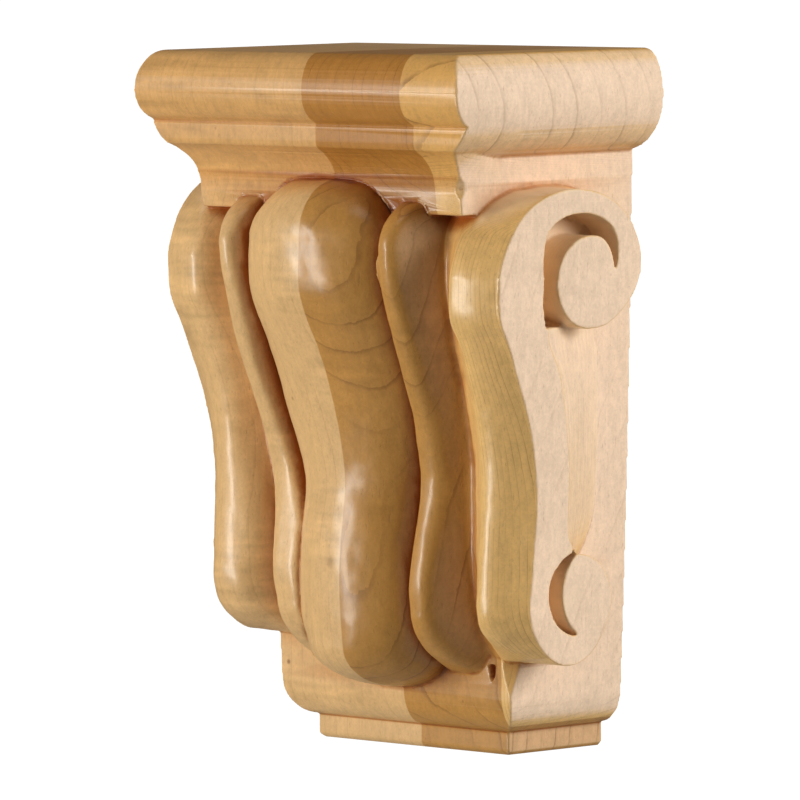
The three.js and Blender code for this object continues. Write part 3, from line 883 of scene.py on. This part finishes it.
def growth_rings():
    """Thin late-wood lines where the surface cuts the yearly rings of one stave."""
    b, given, result = node_group("growth rings", {
        "Place": (0, 0, 0), "Direction": (0, 1, 0), "Upper direction": (0, 1, 0), "Wander": 6, "Contrast": 1,
    }, ("Line", "Tone"))
    place = given["Place"]
    low, high = (b.vector("DOT_PRODUCT", place, given[label])["Value"]
                 for label in ("Direction", "Upper direction"))
    height = b.node("ShaderNodeSeparateXYZ", {0: place}).outputs[2]
    along = b.pick(b.step(height, 42, 62), low, high)
    wander = given["Wander"]
    rings = b.summed(along, [
        (b.sway(place, (0.022, 0.022, 0.012), 1.0), wander),
        (b.sway(place, (0.11, 0.11, 0.05), 2.0), b.times(wander, 0.12)),
        (b.sway(place, (0.7, 0.7, 0.4), 2.0, 0.6), b.times(wander, 0.06)),
    ])
    phase = b.math("FRACT", rings)
    own = b.node("ShaderNodeTexWhiteNoise", {"W": b.math("FLOOR", rings)},
                 noise_dimensions="1D").outputs["Value"]
    thin = b.times(b.step(phase, 0.87, 0.975), b.step(phase, 1.0, 0.99))
    soft = b.times(b.step(phase, 0.45, 0.98), b.step(phase, 1.0, 0.985))
    line = b.summed(b.times(thin, 0.8), [(soft, 0.2)])
    line = b.times(line, b.step(own, 0.0, 0.7, 0.35, 1.0))
    patchy = b.noise(place, (0.09, 0.09, 0.06), 2.0)
    line = b.times(line, b.step(patchy, 0.36, 0.6, 0.25, 1.0))
    b.put(result["Line"], b.times(line, given["Contrast"]))
    b.put(result["Tone"], b.times(b.math("SUBTRACT", own, 0.5), given["Contrast"]))
    return b.tree


def wood_grain():
    """Ripple figure, broad clouds, long streaks, pores, grit and mottling."""
    b, given, result = node_group("wood grain", {"Place": (0, 0, 0)},
                                  ("Ripple", "Cloud", "Streak", "Pores", "Grit", "Mottle"))
    place = given["Place"]
    where = b.step(b.noise(place, (0.03, 0.03, 0.045), 1.0), 0.45, 0.62)
    b.put(result["Ripple"], b.times(b.sway(place, (0.06, 0.06, 0.42), 1.0), where))
    b.put(result["Pores"], b.step(b.noise(place, (2.2, 2.2, 0.5), 2.0, 0.6), 0.62, 0.74))
    for label, scale, detail, roughness in (
            ("Cloud", (0.06, 0.06, 0.025), 2.0, 0.5), ("Streak", (0.8, 0.8, 0.06), 3.0, 0.6),
            ("Grit", (1.3, 1.3, 1.3), 3.0, 0.7), ("Mottle", (0.5, 0.5, 0.28), 2.0, 0.6)):
        b.put(result[label], b.sway(place, scale, detail, roughness))
    return b.tree


def maple_material(look):
    """Lacquered maple, glued up from three staves that each have their own rings and tone, with shade and light
    painted into its colour.
    """
    material = bpy.data.materials.new("lacquered maple")
    material.use_nodes = True
    tree = material.node_tree
    b = Board(tree)
    shader = tree.nodes["Principled BSDF"]
    place = b.vector("MULTIPLY", b.node("ShaderNodeTexCoord").outputs["Object"], (1000, 1000, 1000))[0]
    x, _, height = b.node("ShaderNodeSeparateXYZ", {0: place}).outputs
    middle = b.step(x, look.glue_middle - JOINT_BLUR, look.glue_middle + JOINT_BLUR)
    right = b.step(x, look.glue_right - JOINT_BLUR, look.glue_right + JOINT_BLUR)

    def by_stave(left_value, middle_value, right_value):
        return b.pick(right, b.pick(middle, left_value, middle_value), right_value)

    rings = growth_rings()
    staves = [b.group(rings, {"Place": place, **dict(zip(STAVE_LABELS, stave))}) for stave in STAVES]
    line, ring_tone = (by_stave(*[stave[label] for stave in staves]) for label in ("Line", "Tone"))
    grain = b.group(wood_grain(), {"Place": place})
    flat, sideways, edge, hollow, nook, rear = (
        b.attribute(name) for name in ("flat_side", "sideways", "edge", "hollow", "nook", "rear"))
    cap = b.step(height, 50, 55)
    # Partly painted light: side-facing surfaces, the right side most, are turned paler, for sanded maple and
    # for the bright light falling on the sides.
    pale = b.pick(cap, flat, b.math("MAXIMUM", flat, b.times(sideways, 0.5)))
    colour = b.mix(right, b.mix(middle, look.left_tone, look.middle_tone), look.right_tone)
    colour = b.mix(b.times(pale, b.pick(right, 0.35, 1.0)), colour, look.side_pale_and_lit_tone)
    light = b.summed(1.0, [(grain[label], strength) for label, strength in LIGHTNESS.items()])
    light = b.summed(light, [(ring_tone, 0.05), (grain["Ripple"], by_stave(*look.ripple))])
    grey = b.node("ShaderNodeCombineColor", {0: light, 1: light, 2: light}).outputs[0]
    outside = b.step(b.math("ABSOLUTE", x), 46, 49)
    faint = b.pick(b.times(pale, right), 1.0, b.step(height, 50, 58, 0.24, 0.42))
    # Painted shade: the colour is darkened where the carving shelters the surface, and less so on the flat
    # sides and outside the scrolls.
    shade_spared = b.math("MAXIMUM", b.times(outside, 0.9), b.times(flat, 0.6))
    painted_hollow_shade = b.times(b.step(hollow, look.hollow_shade_start, look.hollow_shade_full), b.rest(shade_spared))
    # Painted shade in creases and in tight corners next to raised parts.
    crease = b.math("MAXIMUM", b.times(b.step(edge, -0.12, -0.75), 0.85), b.step(nook, 0.16, 0.6))
    # Painted shade: the cap's front-facing surfaces are darkened and warmed, as if less light fell on them.
    cap_front_shade = b.times(cap, b.rest(b.math("MAXIMUM", sideways, rear)))
    # Painted light: the sheltered grooves on the sides are lightened, against the shade that falls in them.
    groove_painted_light = b.times(outside, b.step(hollow, 0.22, 0.5))
    spots = []
    for across, depth, rise, radius, strength in KNOTS:
        away = b.vector("DISTANCE", place, (across, -depth, rise - HEIGHT / 2))["Value"]
        spots.append((b.times(b.step(away, radius, radius * 0.2), strength), look.ring_tone, "MIX"))
    # Every layer of the colour, from the wood out, painted shade and light among them: where it lies, its tone,
    # and how it meets what is below.
    for where, layer, blend in (
            (1.0, grey, "MULTIPLY"),
            (b.times(b.times(line, faint), 0.75), look.ring_tone, "MIX"),
            (b.times(grain["Pores"], 0.24), look.ring_tone, "MIX"),
            (painted_hollow_shade, look.hollow_shade_tone, "MULTIPLY"),
            (crease, look.crease_shade_tone, "MULTIPLY"),
            (cap_front_shade, look.cap_shade_tone, "MULTIPLY"),
            (b.times(groove_painted_light, 0.7), look.groove_light_tone, "MIX"),
            *spots,
            (b.times(b.step(edge, 0.25, 0.9), 0.25), look.worn_tone, "MIX"),
            (rear, look.rear_tone, "MULTIPLY")):
        colour = b.mix(where, colour, layer, blend)

    rough = b.summed(look.roughness, [(grain["Grit"], 0.2), (pale, 0.18), (painted_hollow_shade, 0.1), (rear, 0.3)])
    relief = b.summed(0.0, [(grain[label], strength) for label, strength in RELIEF.items()])
    relief = b.summed(relief, [(line, RING_RELIEF)])
    bump = b.node("ShaderNodeBump", {"Strength": 0.5, "Distance": 0.00012, "Height": relief})
    dull = b.math("MAXIMUM", b.times(pale, 0.85), rear)
    for label, value in (("Base Color", colour), ("Roughness", rough), ("Normal", bump.outputs["Normal"]),
                         ("Coat Weight", b.times(b.rest(dull), look.coat)),
                         ("Coat Roughness", look.coat_roughness), ("Specular IOR Level", 0.2)):
        b.put(shader.inputs[label], value)
    return material


def factor(name, description, default):
    return FloatProperty(name=name, description=description, default=default, min=0, max=1, subtype="FACTOR")


def power(name, description, default):
    return FloatProperty(name=name, description=description, default=default, min=0, unit="POWER")


def tone(name, description, red, green, blue):
    return FloatVectorProperty(name=name, description=description, subtype="COLOR", size=4, min=0, max=1,
                               default=srgb(red, green, blue))


class CorbelSizes(bpy.types.PropertyGroup):
    """How finely the block is carved"""
    voxel: FloatProperty(name="Carving grain", description="Finest size of the carving, in millimetres",
                         default=0.38, min=0.3, max=2)
    triangles: IntProperty(name="Triangles", description="Most triangles in the finished carving",
                           default=190000)


class CorbelFinish(bpy.types.PropertyGroup):
    """Tones, joints, lacquer, and painted shade and light"""
    glue_middle: FloatProperty(name="Left joint", default=3.2,
                               description="Where the left and the middle stave meet, in millimetres")
    glue_right: FloatProperty(name="Right joint", default=37.8,
                              description="Where the middle and the right stave meet, in millimetres")
    left_tone: tone("Left stave", "Maple of the left stave", 228, 187, 131)
    middle_tone: tone("Middle stave", "Darker maple of the middle stave", 196, 144, 74)
    right_tone: tone("Right stave", "Maple of the right stave", 238, 194, 124)
    # Partly painted light: paler sanded maple of the sides, and the bright light falling on them.
    side_pale_and_lit_tone: tone("Side", "Paler, sanded maple of the flat sides", 242, 214, 186)
    # Painted light: the lighter tone that the sheltered grooves of the sides are mixed towards.
    groove_light_tone: tone("Groove", "Maple in the cut grooves of the sides", 250, 226, 192)
    # Painted shade: the tone that the sheltered hollows are darkened by.
    hollow_shade_tone: tone("Hollow", "What the lacquer in the hollows leaves of the colour", 225, 192, 150)
    # Painted shade: the tone that creases and tight corners are darkened by.
    crease_shade_tone: tone("Crease", "What the dust in the creases leaves of the colour", 205, 160, 112)
    # Painted shade: the tone that the cap's front-facing surfaces are darkened by.
    cap_shade_tone: tone("Cap", "What the thick lacquer on the cap's front leaves of the colour", 248, 235, 213)
    rear_tone: tone("Back", "What the bare, dull back leaves of the colour", 236, 222, 206)
    ring_tone: tone("Rings", "Late wood of the yearly rings", 130, 84, 42)
    worn_tone: tone("Worn edge", "Maple where the edges are rubbed", 238, 204, 158)
    ripple: FloatVectorProperty(name="Ripple", default=(0.6, 0.35, 0.1), min=0, max=2,
                                description="Ripple figure in the left, middle and right stave")
    hollow_shade_start: factor("Hollow from", "Shelter at which a hollow starts to darken", 0.2)
    hollow_shade_full: factor("Hollow to", "Shelter at which a hollow is darkest", 0.7)
    roughness: factor("Roughness", "Roughness of the wood under the lacquer", 0.46)
    coat: factor("Lacquer", "Strength of the lacquer's gloss", 0.36)
    coat_roughness: factor("Lacquer roughness", "How satin the lacquer is", 0.24)


class CorbelStudio(bpy.types.PropertyGroup):
    """Lamps and floor"""
    left_power: power("Left box", "Power of the narrow lamp on the left", 17)
    right_power: power("Right box", "Power of the wide lamp on the right", 21.5)
    top_power: power("Top box", "Power of the lamp above", 2.2)
    surround: FloatProperty(name="Surround", description="Strength of the light from all around",
                            default=0.12, min=0)
    floor_drop: FloatProperty(name="Floor", description="How far the floor lies below the corbel's middle",
                              default=1, min=0.1, unit="LENGTH")
    floor_tone: factor("Floor tone", "How much light the floor throws back", 0.55)


class CORBEL_OT_carving(bpy.types.Operator):
    """Carve the corbel's block: cap, neck, front, scrolls and foot"""
    bl_idname = "corbel.carving"
    bl_label = "Carve the corbel"

    def execute(self, context):
        sizes = context.scene.corbel_sizes
        piece = carve()
        piece.name = "carved_corbel"
        finish_mesh(piece, sizes.voxel, sizes.triangles)
        piece.data.materials.clear()
        piece.data.materials.append(maple_material(context.scene.corbel_finish))
        mark_surface(piece.data)
        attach(piece, "root")
        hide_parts("corbel")
        return {"FINISHED"}


def photo_camera():
    """A long lens from the corbel's right front, a little above it."""
    yaw, pitch, roll = CAMERA["yaw"], CAMERA["pitch"], CAMERA["roll"]
    forward = Vector((-math.sin(yaw) * math.cos(pitch), math.cos(yaw) * math.cos(pitch), -math.sin(pitch)))
    level = Vector((math.cos(yaw), math.sin(yaw), 0))
    upright = level.cross(forward)
    right = math.cos(roll) * level + math.sin(roll) * upright
    up = -math.sin(roll) * level + math.cos(roll) * upright
    target = Vector((0, -CAMERA["depth"], CAMERA["height"] - HEIGHT / 2)) * MM
    data = bpy.data.cameras.new("camera")
    data.sensor_width = CAMERA["sensor"]
    data.lens = CAMERA["lens"]
    data.clip_end = CAMERA["clip_end"]
    camera = in_scene("camera", data)
    place = target - forward * CAMERA["distance"] + right * CAMERA["aside"] + up * CAMERA["above"]
    turn = Matrix((right, up, -forward)).transposed().to_4x4()
    camera.matrix_world = Matrix.Translation(place) @ turn
    return camera


def pale_surround(strength):
    """Weak warm light from all around, which the camera sees as plain white."""
    world = bpy.data.worlds.new("studio")
    world.use_nodes = True
    b = Board(world.node_tree)
    backdrop = world.node_tree.nodes["Background"].inputs
    seen = b.node("ShaderNodeLightPath").outputs["Is Camera Ray"]
    b.put(backdrop["Color"], b.mix(seen, WARM, WHITE))
    b.put(backdrop["Strength"], b.pick(seen, strength, 1.0))
    return world


def pale_floor(height, grey):
    """A wide floor below the corbel, which the camera sees as plain white."""
    corners = [(x * FLOOR_REACH, y * FLOOR_REACH, height) for x, y in ((-1, -1), (1, -1), (1, 1), (-1, 1))]
    floor = mesh_object("floor", corners, [(0, 1, 2, 3)])
    pale = bpy.data.materials.new("pale floor")
    pale.use_nodes = True
    b = Board(pale.node_tree)
    sheet = pale.node_tree.nodes["Principled BSDF"].inputs
    sheet["Base Color"].default_value = (grey, grey, grey, 1)
    sheet["Roughness"].default_value = 0.9
    sheet["Emission Color"].default_value = WHITE
    b.put(sheet["Emission Strength"], b.node("ShaderNodeLightPath").outputs["Is Camera Ray"])
    floor.data.materials.append(pale)
    return floor


def soft_box(studio, side, turn, height, reach, size, tilt, colour):
    """A lamp that faces the corbel."""
    angle = CAMERA["yaw"] + math.radians(turn)
    place = Vector((math.sin(angle) * reach, -math.cos(angle) * reach, height))
    lamp = bpy.data.lights.new(side + " box", "AREA")
    lamp.shape = "RECTANGLE"
    lamp.size, lamp.size_y = size
    lamp.energy = getattr(studio, side + "_power")
    lamp.color = colour
    aim = (place - Vector((0, -CAMERA["depth"] * MM, 0))).to_track_quat("Z", "Y").to_matrix().to_4x4()
    tilted = Matrix.Rotation(math.radians(tilt), 4, "Z")
    in_scene(side + " box", lamp).matrix_world = Matrix.Translation(place) @ aim @ tilted


class CORBEL_OT_studio(bpy.types.Operator):
    """Set up the pale floor, the soft lights and the camera"""
    bl_idname = "corbel.studio"
    bl_label = "Set up the studio"

    def execute(self, context):
        scene = context.scene
        studio = scene.corbel_studio
        scene.camera = photo_camera()
        scene.world = pale_surround(studio.surround)
        scene.view_settings.view_transform = "Standard"
        pale_floor(-studio.floor_drop, studio.floor_tone)
        for lamp in LAMPS:
            soft_box(studio, *lamp)
        return {"FINISHED"}


class CORBEL_PT_sidebar(bpy.types.Panel):
    bl_label = "Corbel"
    bl_idname = "CORBEL_PT_sidebar"
    bl_space_type = "VIEW_3D"
    bl_region_type = "UI"
    bl_category = "Corbel"

    def draw(self, context):
        scene = context.scene
        for operator, groups in ((CORBEL_OT_carving, (scene.corbel_sizes, scene.corbel_finish)),
                                 (CORBEL_OT_studio, (scene.corbel_studio,))):
            box = self.layout.box()
            for group in groups:
                for name in group.bl_rna.properties.keys():
                    if name not in ("name", "rna_type"):
                        box.prop(group, name)
            box.operator(operator.bl_idname)


CLASSES = (CorbelSizes, CorbelFinish, CorbelStudio, CORBEL_OT_carving, CORBEL_OT_studio, CORBEL_PT_sidebar)


def register():
    for cls in CLASSES:
        bpy.utils.register_class(cls)
    bpy.types.Scene.corbel_sizes = PointerProperty(type=CorbelSizes)
    bpy.types.Scene.corbel_finish = PointerProperty(type=CorbelFinish)
    bpy.types.Scene.corbel_studio = PointerProperty(type=CorbelStudio)


def unregister():
    del bpy.types.Scene.corbel_sizes, bpy.types.Scene.corbel_finish, bpy.types.Scene.corbel_studio
    for cls in reversed(CLASSES):
        bpy.utils.unregister_class(cls)


def main():
    register()
    bpy.ops.corbel.carving()
    bpy.ops.corbel.studio()


if __name__ == "__main__":
    main()
